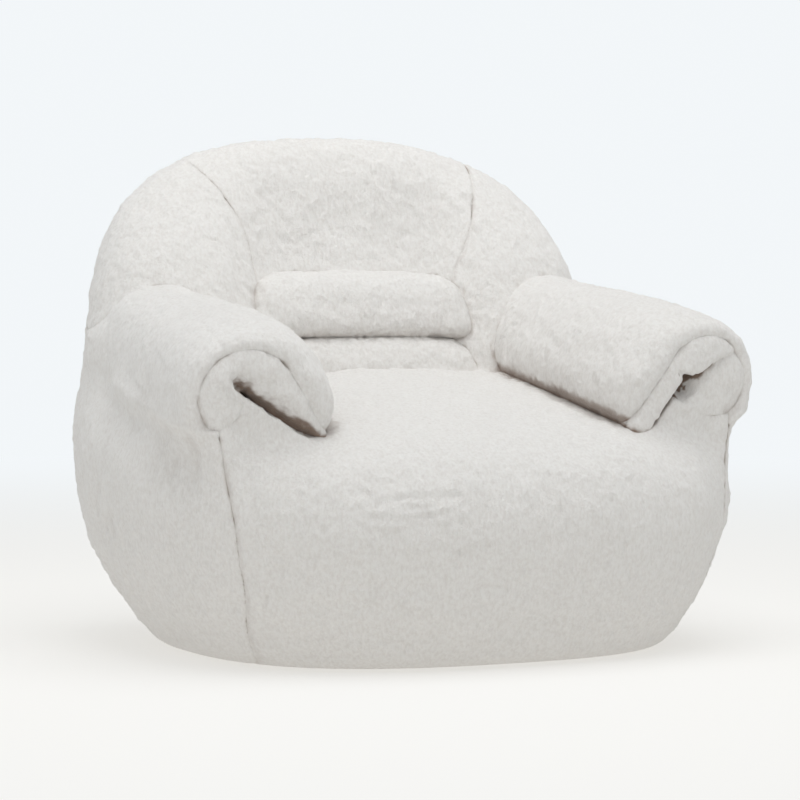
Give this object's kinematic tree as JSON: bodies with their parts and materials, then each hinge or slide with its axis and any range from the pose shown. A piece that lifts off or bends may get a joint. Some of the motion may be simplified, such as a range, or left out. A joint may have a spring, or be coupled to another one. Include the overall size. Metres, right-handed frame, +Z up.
{
  "type": "bean bag chair",
  "caption": "Deep upholstered bean bag armchair in pale plush, with a rounded back, lumbar rolls, folded-over arms and a zip to fill it by.",
  "frame": {"origin": "on the floor, under the middle of the chair's box", "axes": "+Z up, the sitter faces -Y, +X to the right of a viewer standing in front; the width runs along X"},
  "size_m": [1.03, 0.89, 0.82],
  "materials": {
    "plush": "short plush pile",
    "underside_cloth": "plain weave",
    "liner_cloth": "thin woven bag cloth",
    "filling": "foam and polystyrene beads",
    "zip_tape": "woven tape",
    "zip_coil": "nylon coil",
    "zip_metal": "plated"
  },
  "bodies": {
    "chair": {"back_filling": "filling", "back_liner": "liner_cloth", "base_cover": "underside_cloth", "head_cover": "plush", "left_arm_filling": "filling", "left_arm_gusset": "plush", "left_arm_lining": "plush", "left_side_cover": "plush", "left_wing_cover": "plush", "lower_lumbar_cover": "plush", "lower_lumbar_filling": "filling", "rear_cover": "plush", "right_arm_filling": "filling", "right_arm_gusset": "plush", "right_arm_lining": "plush", "right_side_cover": "plush", "right_wing_cover": "plush", "seat_filling": "filling", "seat_front_cover": "plush", "seat_liner": "liner_cloth", "upper_lumbar_cover": "plush", "upper_lumbar_filling": "filling", "zip_coil_lower": "zip_coil", "zip_coil_upper": "zip_coil", "zip_panel": "underside_cloth", "zip_stops": "zip_metal", "zip_tape_lower": "zip_tape", "zip_tape_upper": "zip_tape"},
    "slider": {"zip_slider": "zip_metal"},
    "pull": {"zip_pull": "zip_metal"}
  },
  "joints": [
    {"name": "zip_slide", "type": "slide", "parent": "chair", "child": "slider", "axis": [1, 0, 0], "range_m": [0, 0.259]},
    {"name": "pull_swing", "type": "hinge", "parent": "slider", "child": "pull", "pos_m": [-0.12965, 0.44215, 0.17], "axis": [0, 0, 1], "range_deg": [0, 165]}
  ]
}
